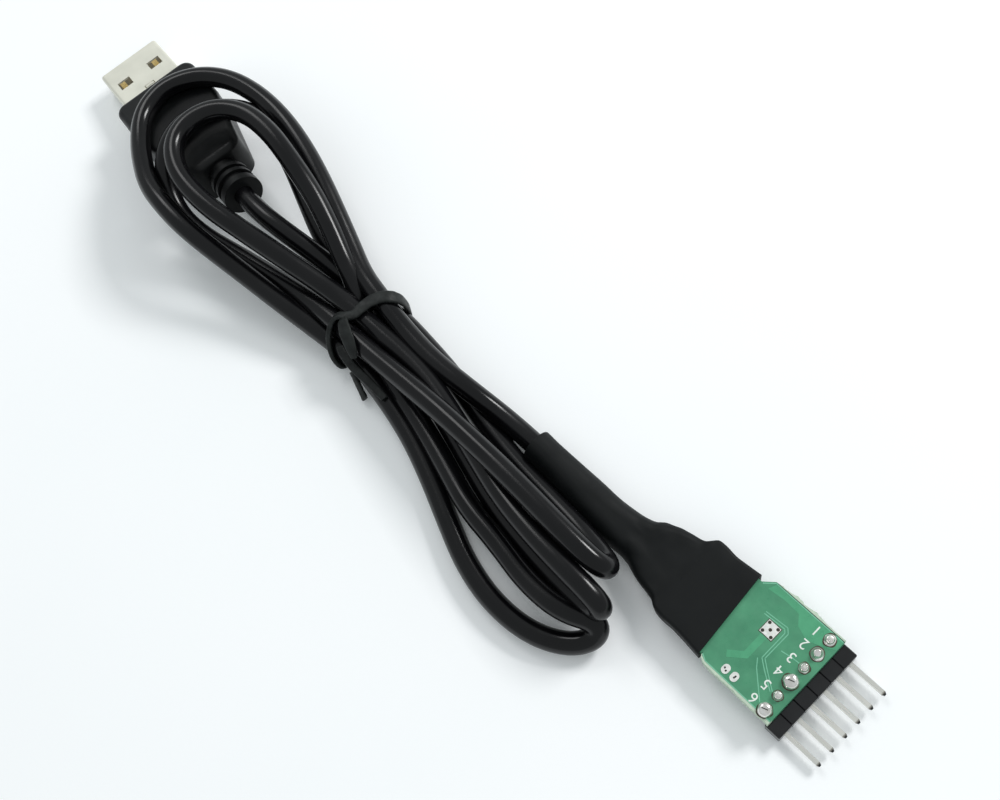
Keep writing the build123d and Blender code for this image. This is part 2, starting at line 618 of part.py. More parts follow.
def cable_tube(points, label):
    radii = arc_radii(points)
    with BuildPart() as tube:
        with BuildLine() as route:
            FilletPolyline(*points, radius=radii)
        start = Vector(*points[0])
        with BuildSketch(Plane(origin=start, z_dir=Vector(*points[1]) - start)):
            Circle(CABLE_DIAMETER / 2)
        sweep()
        whole = tube.part.volume / (math.pi * (CABLE_DIAMETER / 2) ** 2 * route.wire().length)
        print(label, "radii", [round(r, 1) for r in radii], "volume over section times length", round(whole, 4))
        add(cable_hank, mode=Mode.SUBTRACT)
    save(tube, label)


relief_mouth = plug_frame.from_local_coords(Vector(relief_end, 0, grip_middle))
relief_line = plug_frame.from_local_coords(Vector(relief_end - RELIEF_LEAD, 0, grip_middle))
PLUG_STRETCH = ((-83.6, -3.7, 8.6), (-77.6, -2.6, 6.3), (-72.0, -2.0, 4.9))
MODULE_STRETCH = ((-58.0, -2.2, 5.6), (-50.0, -2.4, 5.55), (-41.5, -1.75, 5.1))
cable_tube(((*relief_mouth,), (*relief_line,), *PLUG_STRETCH), "cable_plug_side")
sleeve_line = (sleeve_end - SLEEVE_LEAD, CABLE_END_Y, cable_end_z)
sleeve_entry = (sleeve_end, CABLE_END_Y, cable_end_z)
cable_tube((*MODULE_STRETCH, sleeve_line, sleeve_entry), "cable_module_side")
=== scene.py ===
"""Dresses a USB to serial adapter: a tied cable, a small board with a pin header, and a USB plug."""
import json
import math

import bmesh
import bpy
from mathutils import Matrix, Vector, noise


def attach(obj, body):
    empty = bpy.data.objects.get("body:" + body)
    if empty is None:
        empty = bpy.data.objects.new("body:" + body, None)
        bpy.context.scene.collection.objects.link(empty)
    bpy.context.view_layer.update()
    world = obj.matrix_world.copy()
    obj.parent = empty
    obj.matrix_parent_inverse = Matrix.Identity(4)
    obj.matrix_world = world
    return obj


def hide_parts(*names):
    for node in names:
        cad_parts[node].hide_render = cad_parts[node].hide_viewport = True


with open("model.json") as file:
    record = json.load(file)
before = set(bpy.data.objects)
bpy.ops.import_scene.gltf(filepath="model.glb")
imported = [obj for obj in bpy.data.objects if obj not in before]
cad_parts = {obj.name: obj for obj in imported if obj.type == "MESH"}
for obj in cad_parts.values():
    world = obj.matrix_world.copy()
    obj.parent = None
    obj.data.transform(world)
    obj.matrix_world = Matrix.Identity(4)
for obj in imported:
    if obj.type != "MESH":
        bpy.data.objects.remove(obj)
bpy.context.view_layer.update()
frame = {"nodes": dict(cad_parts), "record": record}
MM = 0.001


def mm(*values):
    return Vector(values) * MM


def node_box(name):
    """The lowest and the highest corner of a CAD node, in millimetres."""
    corners = [vertex.co / MM for vertex in bpy.data.objects[name].data.vertices]
    low = Vector([min(corner[axis] for corner in corners) for axis in range(3)])
    high = Vector([max(corner[axis] for corner in corners) for axis in range(3)])
    return low, high


def node_middle(name):
    low, high = node_box(name)
    return (low + high) / 2


# Camera: fitted to the plug's shell, the header and the board, for a frame of 1000 by 800
CAMERA_PLACE = (33.13, -27.53, 167.14)
CAMERA_AZIMUTH = -21.43
CAMERA_ELEVATION = 64.88
CAMERA_ROLL = -24.25
CAMERA_LENS = 43.2


def add_camera():
    azimuth = math.radians(CAMERA_AZIMUTH)
    elevation = math.radians(CAMERA_ELEVATION)
    roll = math.radians(CAMERA_ROLL)
    back = Vector((
        math.cos(elevation) * math.cos(azimuth),
        math.cos(elevation) * math.sin(azimuth),
        math.sin(elevation),
    ))
    right = Vector((0, 0, 1)).cross(back).normalized()
    up = back.cross(right)
    camera_x = math.cos(roll) * right + math.sin(roll) * up
    camera_y = -math.sin(roll) * right + math.cos(roll) * up
    data = bpy.data.cameras.new("camera")
    data.lens = CAMERA_LENS
    data.sensor_width = 36
    data.clip_start = 0.005
    camera = bpy.data.objects.new("camera", data)
    turn = Matrix((camera_x, camera_y, back)).transposed().to_4x4()
    camera.matrix_world = Matrix.Translation(mm(*CAMERA_PLACE)) @ turn
    bpy.context.collection.objects.link(camera)
    bpy.context.scene.camera = camera


# Materials: each is a Principled shader with procedural textures in object space, in metres
class Look:
    """A material in the making, with short names for the nodes that the looks share."""

    def __init__(self, name, colour, roughness, metallic=0.0, specular=0.5):
        self.material = bpy.data.materials.new(name)
        self.material.use_nodes = True
        self.tree = self.material.node_tree
        self.shader = self.tree.nodes["Principled BSDF"]
        self.shader.inputs["Base Color"].default_value = (*colour, 1)
        self.shader.inputs["Roughness"].default_value = roughness
        self.shader.inputs["Metallic"].default_value = metallic
        self.shader.inputs["Specular IOR Level"].default_value = specular
        self.place = self.node("ShaderNodeTexCoord").outputs["Object"]
        self.height = None

    def node(self, kind, **settings):
        made = self.tree.nodes.new(kind)
        for key, value in settings.items():
            setattr(made, key, value)
        return made

    def link(self, source, target):
        self.tree.links.new(source, target)

    def noise(self, size_mm, detail=3.0, roughness=0.5, stretch=None):
        made = self.node("ShaderNodeTexNoise")
        made.inputs["Scale"].default_value = 1 / (size_mm * MM)
        made.inputs["Detail"].default_value = detail
        made.inputs["Roughness"].default_value = roughness
        place = self.place
        if stretch:
            mapping = self.node("ShaderNodeMapping")
            mapping.inputs["Scale"].default_value = stretch
            self.link(place, mapping.inputs["Vector"])
            place = mapping.outputs["Vector"]
        self.link(place, made.inputs["Vector"])
        return made.outputs["Fac"]

    def between(self, factor, low, high, start=0.35, end=0.65):
        made = self.node("ShaderNodeMapRange")
        made.inputs["From Min"].default_value = start
        made.inputs["From Max"].default_value = end
        made.inputs["To Min"].default_value = low
        made.inputs["To Max"].default_value = high
        self.link(factor, made.inputs["Value"])
        return made.outputs["Result"]

    def colours(self, factor, stops):
        made = self.node("ShaderNodeValToRGB")
        ramp = made.color_ramp
        ramp.elements[0].position = stops[0][0]
        ramp.elements[0].color = (*stops[0][1], 1)
        ramp.elements[1].position = stops[-1][0]
        ramp.elements[1].color = (*stops[-1][1], 1)
        for position, colour in stops[1:-1]:
            ramp.elements.new(position).color = (*colour, 1)
        self.link(factor, made.inputs["Fac"])
        return made.outputs["Color"]

    def paint(self, colour):
        self.link(colour, self.shader.inputs["Base Color"])

    def mottle(self, factor, dark, light):
        self.paint(self.colours(factor, ((0.3, dark), (0.7, light))))

    def rough(self, value):
        self.link(value, self.shader.inputs["Roughness"])

    def bump(self, factor, depth_mm, strength=1.0):
        made = self.node("ShaderNodeBump")
        made.inputs["Strength"].default_value = strength
        made.inputs["Distance"].default_value = depth_mm * MM
        self.link(factor, made.inputs["Height"])
        if self.height:
            self.link(self.height, made.inputs["Normal"])
        self.height = made.outputs["Normal"]
        self.link(self.height, self.shader.inputs["Normal"])


def look_cable():
    look = Look("cable_jacket", (0.004, 0.004, 0.005), 0.22, specular=0.3)
    smear = look.noise(9, 4)
    look.mottle(smear, (0.0022, 0.0022, 0.0028), (0.0045, 0.0045, 0.0052))
    look.rough(look.between(smear, 0.15, 0.27))
    look.bump(look.noise(3, 2), 0.015, 0.4)
    look.bump(look.noise(14, 2), 0.10, 0.5)
    return look.material


def look_grip():
    look = Look("grip_plastic", (0.004, 0.004, 0.005), 0.45, specular=0.25)
    look.mottle(look.noise(4, 4), (0.0025, 0.003, 0.003), (0.006, 0.0065, 0.007))
    look.rough(look.between(look.noise(2.5, 3), 0.36, 0.50))
    look.bump(look.noise(0.18, 3), 0.012, 0.5)
    return look.material


def look_sleeve():
    look = Look("sleeve_plastic", (0.004, 0.005, 0.005), 0.55, specular=0.2)
    look.mottle(look.noise(6, 4), (0.0025, 0.0035, 0.0038), (0.005, 0.0062, 0.0065))
    look.rough(look.between(look.noise(3, 3), 0.48, 0.64))
    look.bump(look.noise(0.22, 3), 0.012, 0.6)
    look.bump(look.noise(2.2, 3, 0.5, (0.5, 1, 1)), 0.05, 0.5)
    return look.material


def look_tie():
    look = Look("tie_rubber", (0.008, 0.009, 0.009), 0.5, specular=0.25)
    look.mottle(look.noise(1.5, 4), (0.005, 0.006, 0.006), (0.018, 0.021, 0.020))
    look.rough(look.between(look.noise(0.9, 3), 0.42, 0.6))
    look.bump(look.noise(0.35, 3), 0.03, 0.6)
    return look.material


def look_header():
    look = Look("header_plastic", (0.005, 0.005, 0.006), 0.16)
    look.mottle(look.noise(2, 3), (0.004, 0.004, 0.005), (0.008, 0.008, 0.009))
    look.rough(look.between(look.noise(1.8, 3), 0.10, 0.22))
    look.bump(look.noise(1.4, 3), 0.03, 0.6)
    return look.material


# Pins: their tips are painted dark over this range of x, a painted shade standing for the tapered tips
TIP_START = 28.7
TIP_END = 29.05


def look_pins():
    look = Look("pin_tin", (0.8, 0.79, 0.74), 0.24, metallic=0.75)
    along = look.node("ShaderNodeSeparateXYZ")
    look.link(look.place, along.inputs["Vector"])
    tip = look.between(along.outputs["X"], 0, 1, TIP_START * MM, TIP_END * MM)
    # Painted shade: the tin colour darkens to near black towards each pin's tip
    tin_to_painted_shade = ((0.0, (0.80, 0.79, 0.74)), (0.5, (0.35, 0.33, 0.29)), (1.0, (0.03, 0.03, 0.03)))
    look.paint(look.colours(tip, tin_to_painted_shade))
    look.rough(look.between(look.noise(1.2, 3, 0.5, (0.2, 1, 1)), 0.18, 0.34))
    look.bump(look.noise(0.7, 3, 0.5, (0.2, 1, 1)), 0.01, 0.6)
    return look.material


def look_metal(name, light, dark, roughness, grain_mm, bump_mm, metallic=1.0, stretch=None):
    look = Look(name, light, roughness, metallic=metallic)
    grain = look.noise(grain_mm, 4, 0.6, stretch)
    look.mottle(grain, dark, light)
    look.rough(look.between(grain, roughness * 0.8, roughness * 1.3))
    look.bump(look.noise(grain_mm * 0.6, 3, 0.5, stretch), bump_mm, 0.8)
    return look.material


def look_plastic(name, colour, roughness, grain_mm=1.2, bump_mm=0.01):
    look = Look(name, colour, roughness)
    grain = look.noise(grain_mm, 3)
    look.mottle(grain, tuple(c * 0.88 for c in colour), colour)
    look.rough(look.between(grain, roughness * 0.85, roughness * 1.15))
    look.bump(look.noise(grain_mm * 0.4, 2), bump_mm, 0.6)
    return look.material


def look_board():
    look = Look("solder_mask", (0.06, 0.27, 0.14), 0.32)
    look.mottle(look.noise(4, 4), (0.050, 0.23, 0.125), (0.085, 0.33, 0.18))
    look.rough(look.between(look.noise(1.2, 3), 0.26, 0.42))
    look.bump(look.noise(0.4, 3), 0.015, 0.6)
    return look.material


def look_table():
    look = Look("table_paper", (0.95, 0.96, 0.97), 0.9, specular=0.1)
    look.mottle(look.noise(60, 3), (0.94, 0.96, 0.97), (0.96, 0.97, 0.98))
    look.bump(look.noise(0.4, 3), 0.02, 0.4)
    ray = look.node("ShaderNodeLightPath")
    seen = look.node("ShaderNodeMath", operation="MAXIMUM")
    look.link(ray.outputs["Is Camera Ray"], seen.inputs[0])
    look.link(ray.outputs["Is Glossy Ray"], seen.inputs[1])
    look.shader.inputs["Emission Color"].default_value = (0.95, 1, 1, 1)
    lift = look.between(seen.outputs["Value"], 0, 0.07, 0, 1)
    look.link(lift, look.shader.inputs["Emission Strength"])
    return look.material


def dress_nodes():
    looks = {
        "pcb": look_board(),
        "tinned_pad": look_metal(
            "tinned_pad", (0.93, 0.93, 0.90), (0.78, 0.79, 0.75), 0.34, 0.7, 0.03, 0.4),
        "header_plastic": look_header(),
        "pin_tin": look_pins(),
        "solder": look_metal("solder", (0.93, 0.92, 0.90), (0.66, 0.63, 0.58), 0.16, 1.1, 0.03, 0.85),
        "chip_plastic": look_plastic("chip_plastic", (0.02, 0.02, 0.021), 0.5),
        "lead_tin": look_metal("lead_tin", (0.80, 0.80, 0.79), (0.62, 0.62, 0.6), 0.3, 0.6, 0.01),
        "can_steel": look_metal("can_steel", (0.74, 0.74, 0.73), (0.62, 0.62, 0.6), 0.3, 0.8, 0.01),
        "capacitor_tan": look_plastic("capacitor_tan", (0.40, 0.28, 0.18), 0.5),
        "cable_jacket": look_cable(),
        "wire_red": look_plastic("wire_red", (0.55, 0.02, 0.02), 0.35),
        "wire_white": look_plastic("wire_white", (0.80, 0.80, 0.78), 0.35),
        "wire_green": look_plastic("wire_green", (0.02, 0.30, 0.08), 0.35),
        "wire_black": look_plastic("wire_black", (0.015, 0.015, 0.015), 0.35),
        "sleeve_plastic": look_sleeve(),
        "shell_nickel": look_metal(
            "shell_nickel", (0.80, 0.79, 0.69), (0.74, 0.73, 0.63), 0.36, 5, 0.01, 0.35),
        "insulator_plastic": look_plastic("insulator_plastic", (0.46, 0.40, 0.28), 0.4),
        "contact_gold": look_metal("contact_gold", (0.95, 0.72, 0.32), (0.80, 0.56, 0.22), 0.22, 0.8, 0.01),
        "grip_plastic": look_grip(),
        "tie_rubber": look_tie(),
        "mask_pour": look_plastic("mask_pour", (0.085, 0.38, 0.20), 0.3),
        "mask_line": look_plastic("mask_line", (0.20, 0.55, 0.36), 0.35),
        "bare_copper": look_plastic("bare_copper", (0.060, 0.048, 0.026), 0.35),
        "hole_dark": look_plastic("hole_dark", (0.012, 0.012, 0.010), 0.5),
        "fibreglass": look_plastic("fibreglass", (0.56, 0.68, 0.54), 0.5, 0.5, 0.08),
        "white_print": look_plastic("white_print", (0.86, 0.92, 0.86), 0.5),
    }
    for name in frame["nodes"]:
        node = bpy.data.objects[name]
        slot = next(s["material_slot"] for s in frame["record"]["subparts"] if s["node"] == name)
        for place in node.material_slots:
            place.material = looks[slot]
    return looks


# Stage: places and sizes in metres, powers in watts
LAMP_AIM = (-0.04, 0, 0)


def add_stage():
    bpy.ops.mesh.primitive_plane_add(size=3, location=(0, 0, 0))
    table = bpy.context.object
    table.name = "table"
    table.data.materials.append(look_table())


def add_area_light(name, place, width, height, power):
    data = bpy.data.lights.new(name, "AREA")
    data.shape = "RECTANGLE"
    data.size = width
    data.size_y = height
    data.energy = power
    light = bpy.data.objects.new(name, data)
    light.location = place
    light.rotation_euler = (Vector(LAMP_AIM) - Vector(place)).to_track_quat("-Z", "Y").to_euler()
    bpy.context.collection.objects.link(light)


def add_lights():
    world = bpy.context.scene.world or bpy.data.worlds.new("world")
    bpy.context.scene.world = world
    world.use_nodes = True
    sky = world.node_tree.nodes["Background"]
    sky.inputs["Color"].default_value = (0.93, 0.985, 1.0, 1)
    sky.inputs["Strength"].default_value = 0.56
    add_area_light("key", (0.05, 0.66, 0.54), width=0.26, height=0.20, power=3.9)
    add_area_light("fill", (-0.50, 0.15, 0.60), width=0.24, height=0.24, power=0.8)


# Shapes: rows of numbers on a smooth line, and meshes skinned over rings of points
def between_rows(rows, steps, looped=False):
    count = len(rows)
    made = []
    for i in range(count if looped else count - 1):
        near = [(i + k) % count if looped else min(max(i + k, 0), count - 1) for k in (-1, 0, 1, 2)]
        for n in range(steps):
            t = n / steps
            made.append([
                0.5 * (2 * b + (c - a) * t + (2 * a - 5 * b + 4 * c - d) * t ** 2
                       + (3 * b - a - 3 * c + d) * t ** 3)
                for a, b, c, d in zip(*(rows[k] for k in near))
            ])
    return made if looped else [*made, list(rows[-1])]


def skin(rings, looped=False):
    count = len(rings[0])
    faces = []
    for i in range(len(rings) if looped else len(rings) - 1):
        j = (i + 1) % len(rings)
        for k in range(count):
            m = (k + 1) % count
            faces.append((i * count + k, i * count + m, j * count + m, j * count + k))
    if not looped:
        last = (len(rings) - 1) * count
        faces.append(tuple(reversed(range(count))))
        faces.append(tuple(range(last, last + count)))
    return [corner for ring in rings for corner in ring], faces


def add_piece(name, skins, material, smooth=True, sharp=40):
    mesh = bmesh.new()
    for corners, faces in skins:
        made = [mesh.verts.new(mm(*corner)) for corner in corners]
        for face in faces:
            mesh.faces.new([made[k] for k in face])
    bmesh.ops.recalc_face_normals(mesh, faces=mesh.faces)
    for face in mesh.faces:
        face.smooth = smooth
    for edge in mesh.edges:
        edge.smooth = edge.calc_face_angle(0) < math.radians(sharp)
    data = bpy.data.meshes.new(name)
    mesh.to_mesh(data)
    mesh.free()
    data.materials.append(material)
    piece = bpy.data.objects.new(name, data)
    bpy.context.collection.objects.link(piece)
    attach(piece, "root")
    return piece


def slab(points, low, high):
    return skin([[(x, y, z) for x, y in points] for z in (low, high)])


def line_slabs(points, width, low, high):
    slabs = []
    for (ax, ay), (bx, by) in zip(points, points[1:]):
        length = math.hypot(bx - ax, by - ay)
        sx = (ay - by) / length * width / 2
        sy = (bx - ax) / length * width / 2
        corners = ((ax + sx, ay + sy), (bx + sx, by + sy), (bx - sx, by - sy), (ax - sx, ay - sy))
        slabs.append(slab(corners, low, high))
    return slabs


def lathe(x, y, z, profile, steps=32, uneven=0.0, seed=0):
    rings = []
    for radius, height in profile:
        ring = []
        for n in range(steps):
            angle = 2 * math.pi * n / steps
            place = Vector((math.cos(angle), math.sin(angle), seed + height * 0.6))
            size = radius * (1 + uneven * noise.noise(place * 1.3))
            ring.append((x + size * math.cos(angle), y + size * math.sin(angle), z + height))
        rings.append(ring)
    return skin(rings)


# Shrink sleeve: one closed skin, out along the outside and back along the inside, with soft wrinkles
# Each row: x, lowest and highest y, lowest and highest z, upper and lower corner radius, wall
SLEEVE_ROWS = (
    (-29.25, -3.33, 1.83, 0.02, 5.18, 2.55, 2.55, 0.85), (-29.0, -3.38, 1.85, 0.0, 5.2, 2.55, 2.55, 0.85),
    (-26.0, -3.45, 1.75, 0.0, 5.2, 2.55, 2.55, 0.85), (-18.4, -3.9, 1.8, 0.0, 5.2, 2.4, 2.4, 0.8),
    (-14.3, -4.15, 1.75, 0.0, 5.2, 2.3, 2.3, 0.75), (-11.0, -4.25, 2.0, 0.0, 5.1, 2.1, 2.2, 0.7),
    (-9.0, -4.15, 2.4, 0.0, 5.0, 2.0, 2.1, 0.65), (-7.9, -4.2, 2.85, 0.05, 4.95, 1.9, 2.0, 0.6),
    (-6.9, -4.4, 3.6, 0.05, 4.9, 1.8, 2.0, 0.6), (-5.1, -4.95, 4.3, 0.1, 4.75, 1.5, 1.9, 0.5),
    (-3.4, -5.3, 4.7, 0.2, 4.65, 1.2, 1.8, 0.5), (-1.7, -5.6, 5.1, 0.25, 4.6, 1.0, 1.7, 0.45),
    (-0.9, -5.85, 5.5, 0.3, 4.58, 0.8, 1.7, 0.45), (0.1, -6.5, 6.5, 0.4, 4.56, 0.6, 1.6, 0.4),
    (1.6, -6.78, 6.68, 0.45, 4.56, 0.55, 1.6, 0.4), (3.6, -6.72, 6.5, 0.45, 4.55, 0.5, 1.6, 0.4),
    (5.6, -6.85, 6.62, 0.45, 4.55, 0.5, 1.6, 0.4), (8.15, -7.1, 6.85, 0.45, 4.55, 0.5, 1.6, 0.4),
)
SLEEVE_WRINKLES = 0.05
SHOULDER_WRINKLES = 0.16
SHOULDER_FROM = -10
SHOULDER_TO = 0.5
SLEEVE_FRONT = SLEEVE_ROWS[-1][0]
SLEEVE_FRONT_SLANT = math.tan(math.radians(5))
CORNER_STEPS = 6
SIDE_STEPS = 8


def sleeve_ring(row, inset):
    x, left, right, low, high, upper, lower, wall = row
    left, right, low, high = left + inset, right - inset, low + inset, high - inset
    upper, lower = max(upper - inset, 0.12), max(lower - inset, 0.12)
    corners = (
        (right, high, -1, -1, upper, 0),
        (left, high, 1, -1, upper, 90),
        (left, low, 1, 1, lower, 180),
        (right, low, -1, 1, lower, 270),
    )
    arcs = []
    for y, z, side, level, radius, start in corners:
        arc = []
        for n in range(CORNER_STEPS + 1):
            turn = math.radians(start + 90 * n / CORNER_STEPS)
            middle_y = y + side * radius
            middle_z = z + level * radius
            arc.append((middle_y + radius * math.cos(turn), middle_z + radius * math.sin(turn)))
        arcs.append(arc)
    slant = SLEEVE_FRONT_SLANT * min(max(x / SLEEVE_FRONT, 0), 1)
    ring = []
    for arc, following in zip(arcs, arcs[1:] + arcs[:1]):
        ring += [(x - y * slant, y, z) for y, z in arc]
        (ay, az), (by, bz) = arc[-1], following[0]
        for n in range(1, SIDE_STEPS):
            y = ay + (by - ay) * n / SIDE_STEPS
            z = az + (bz - az) * n / SIDE_STEPS
            ring.append((x - y * slant, y, z))
    return ring


def wrinkled(ring, depth):
    moved = []
    for x, y, z in ring:
        long_folds = noise.noise(Vector((x * 0.22, y * 0.9, z * 0.9)))
        short_folds = noise.noise(Vector((x * 0.6, y * 1.7, z * 1.7 + 7)))
        fold = long_folds + 0.5 * short_folds
        moved.append((x, y + 0.5 * depth * fold * (1 if y > 0 else -1), max(z + depth * fold, 0)))
    return moved


def add_sleeve(looks):
    rows = between_rows(SLEEVE_ROWS, 5)
    outside = []
    for row in rows:
        depth = SHOULDER_WRINKLES if SHOULDER_FROM < row[0] < SHOULDER_TO else SLEEVE_WRINKLES
        outside.append(wrinkled(sleeve_ring(row, 0), depth))
    inside = [sleeve_ring(row, row[-1]) for row in rows]
    wall = skin(outside + inside[::-1], looped=True)
    sleeve = add_piece("shrink_sleeve", [wall], looks["sleeve_plastic"], sharp=60)
    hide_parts("heat_shrink_sleeve")


# Tie: a flat rubbery strap round the waist, with its twist on top and two loose tails
# Each row: place, the direction of the strap's width, half the width and half the thickness
ROUND_WAIST = (
    (-64.4, -6.9, 8.45, 0.3, -0.9, 0.1, 0.75, 0.34), (-63.6, -5.9, 8.45, 0.7, -0.7, 0, 0.8, 0.34),
    (-63.6, -4.4, 8.4, 0.88, -0.47, 0, 0.9, 0.34), (-63.4, -2.6, 8.35, 0.88, -0.47, 0, 1.0, 0.34),
    (-62.6, -0.9, 8.3, 0.88, -0.47, 0, 1.05, 0.34), (-61.6, 0.35, 7.8, 0.88, -0.47, 0, 1.05, 0.34),
    (-61.0, 1.1, 6.6, 0.88, -0.47, 0, 1.05, 0.34), (-60.8, 1.4, 5.0, 0.88, -0.47, 0, 1.05, 0.34),
    (-60.8, 1.5, 3.0, 0.88, -0.47, 0, 1.05, 0.34), (-60.8, 0.9, 1.2, 0.88, -0.47, 0, 1.0, 0.34),
    (-61.0, -1.5, 0.65, 0.88, -0.47, 0, 1.0, 0.34), (-61.9, -5.5, 0.6, 0.88, -0.47, 0, 1.0, 0.34),
    (-62.7, -9.5, 0.62, 0.88, -0.47, 0, 1.0, 0.34), (-62.6, -11.9, 1.3, 0.88, -0.47, 0.2, 0.85, 0.36),
    (-62.9, -12.4, 2.7, 0.7, -0.4, 0.6, 0.78, 0.4), (-63.7, -12.2, 3.9, 0.6, -0.3, 0.75, 0.75, 0.42),
    (-64.7, -11.4, 5.3, 0.5, -0.25, 0.83, 0.75, 0.42), (-65.2, -10.3, 6.9, 0.45, -0.2, 0.87, 0.75, 0.42),
    (-65.5, -9.0, 8.0, 0.45, -0.2, 0.87, 0.75, 0.4), (-65.3, -7.7, 8.5, 0.6, -0.5, 0.5, 0.75, 0.36),
)
TWIST = (
    (-64.3, -7.6, 8.5, 0.35, 0.85, 0.4, 0.7, 0.25), (-63.6, -8.0, 8.9, 0.35, 0.85, 0.4, 1.0, 0.25),
    (-62.2, -8.7, 9.0, 0.35, 0.85, 0.4, 1.05, 0.25), (-60.9, -9.3, 8.6, 0.35, 0.85, 0.4, 1.05, 0.25),
    (-59.6, -10.0, 7.8, 0.35, 0.85, 0.4, 0.85, 0.25), (-58.8, -10.5, 6.8, 0.35, 0.85, 0.3, 0.5, 0.25),
)
LONG_TAIL = (
    (-62.2, -10.7, 6.6, 0.1, 0.95, 0.3, 0.5, 0.26), (-61.3, -11.1, 6.2, 0.1, 0.98, 0.2, 0.65, 0.26),
    (-59.6, -11.4, 5.7, 0.05, 0.99, 0.1, 0.68, 0.26), (-57.7, -11.5, 5.15, 0, 1, 0, 0.68, 0.26),
    (-56.0, -11.4, 4.75, 0, 1, 0, 0.68, 0.26), (-53.9, -11.4, 4.4, 0, 1, 0, 0.66, 0.26),
    (-52.2, -11.45, 4.2, 0, 1, 0, 0.62, 0.26), (-51.5, -11.5, 4.15, 0, 1, 0, 0.58, 0.24),
)
SHORT_TAIL = (
    (-59.8, -11.9, 2.5, 0.45, 0.45, 0.77, 0.5, 0.28), (-58.8, -12.2, 2.0, 0.45, 0.45, 0.77, 0.6, 0.28),
    (-57.6, -12.6, 1.7, 0.45, 0.5, 0.74, 0.62, 0.28), (-56.4, -13.0, 1.4, 0.45, 0.55, 0.7, 0.62, 0.28),
    (-55.3, -13.4, 1.2, 0.45, 0.6, 0.66, 0.6, 0.28),
)


STRAP_SIDES = 16
STRAP_UNEVEN = 0.05


def strap(rows, looped=False):
    rows = between_rows(rows, 6, looped)
    last = len(rows) - 1
    rings = []
    for i, row in enumerate(rows):
        before = rows[i - 1] if looped or i > 0 else row
        after = rows[(i + 1) % len(rows)] if looped or i < last else row
        place = Vector(row[:3])
        along = (Vector(after[:3]) - Vector(before[:3])).normalized()
        wide = Vector(row[3:6])
        wide = (wide - wide.dot(along) * along).normalized()
        thick = along.cross(wide)
        ring = []
        for n in range(STRAP_SIDES):
            angle = math.radians(360 * n / STRAP_SIDES)
            across = math.copysign(abs(math.cos(angle)) ** 0.5, math.cos(angle)) * row[6]
            up = math.copysign(abs(math.sin(angle)) ** 0.6, math.sin(angle)) * row[7]
            spot = place + wide * across + thick * up
            ring.append(spot + STRAP_UNEVEN * noise.noise_vector(spot * 1.1))
        rings.append(ring)
    return skin(rings, looped)


def add_tie(looks):
    skins = [strap(ROUND_WAIST, looped=True), strap(TWIST), strap(LONG_TAIL), strap(SHORT_TAIL)]
    tie = add_piece("tie_strap", skins, looks["tie_rubber"], sharp=60)
    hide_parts("cable_tie")
    return tie


# Board: its rough rims, the copper and traces under the mask, the vias and marks on the pads, the joints
# with painted shade rings round their feet
BOARD_TOP = node_box("board")[1].z
PAD_TOP = node_box("via_pad")[1].z
PAD_CENTRE = node_middle("via_pad").xy
LINK_PADS = [node_middle(f"link_pad_{n}").xy for n in (1, 2)]
LEGS = [node_middle(f"solder_joint_{n}").xy for n in range(1, 7)]
POUR = (
    (9.9, 7.2), (21.2, 7.3), (21.2, 5.9), (19.9, 5.1), (17.6, 4.2), (15.6, 4.9), (14.6, 6.2),
    (12.0, 6.35), (9.4, 6.0),
)
BEND_TRACE = ((11.0, -3.9), (12.75, -2.5), (12.75, 0.9), (13.75, 0.9), (13.75, -2.9), (11.6, -4.7))
THIN_TRACES = (
    ((11.3, 3.5), (14.8, 3.8), (15.4, 3.2), (15.35, -1.3), (16.5, -2.2), (18.9, -3.9)),
    ((11.3, 3.15), (14.6, 3.4), (15.0, 3.0), (15.0, -1.5), (16.3, -2.5), (18.7, -4.1)),
    ((14.6, -1.9), (15.4, -3.0), (18.6, -6.0)),
    ((16.2, 0.9), (17.8, 1.2), (19.0, 1.3)),
)
THIN_TRACE_WIDTH = 0.13
EDGE_LINES = (
    ((9.05, -6.5), (10.0, -7.0), (21.2, -7.0)),
    ((8.4, 6.1), (9.75, 7.32), (21.2, 7.32)),
)
EDGE_LINE_WIDTH = 0.16
MASK_STRIP = ((8.95, -6.3), (9.2, -6.75), (10.0, -7.08), (21.3, -7.08), (21.3, -6.3))
LEFT_RIM = (
    (8.9, -6.5), (9.3, -7.05), (10.2, -7.4), (12.5, -7.45), (15, -7.4), (17.5, -7.5), (20, -7.45),
    (21.28, -7.5),
)
LEFT_RIM_INNER = -6.5
RIGHT_RIM = (
    (9.9, 7.55), (10.6, 7.65), (11.8, 7.68), (13.2, 7.95), (14.6, 7.75), (16.2, 8.0), (18, 7.75),
    (21.28, 7.75),
)
RIGHT_RIM_INNER = 7.3
RIM_LEVELS = ((2.5, 0.0), (3.3, 0.06), (4.1, -0.03))
RIM_ROUGHNESS = 0.12
PAD_RIM = 1.13
VIAS = ((0, 0), (0.72, 0.72), (0.72, -0.72), (-0.72, 0.72), (-0.72, -0.72))
VIA_RING = ((0.25, 0), (0.23, 0.02), (0.0, 0.022))
VIA_HOLE = ((0.15, 0), (0.14, 0.03), (0.0, 0.03))
LINK_MARKS = (((-0.2, 0.05), (0.18, -0.2)), ((0.05, -0.1), (0.1, 0.12)))
LINK_MARK = ((0.14, 0), (0.12, 0.02), (0.0, 0.02))
# The marks rise by different heights, so that none shares a plane with another
STRIP_RISE = 0.01
POUR_RISE = 0.012
TRACE_RISE = 0.015
LINE_RISE = 0.02
# Solder joints: foot radius, height and whether the leg shows in it, from pin 1 to pin 6
JOINTS = (
    (0.85, 0.6, True),
    (0.95, 0.9, True),
    (0.75, 0.75, True),
    (1.05, 1.02, False),
    (0.7, 0.8, True),
    (1.0, 1.02, False),
)
# A domed joint has a short slit across its top, drawn as a near-black sliver: painted shade in the crevice
SLIT_REACH = (0.42, 0.16)
SLIT_WIDTH = 0.12
SLIT_LOW = 0.9
SLIT_HIGH = 1.08


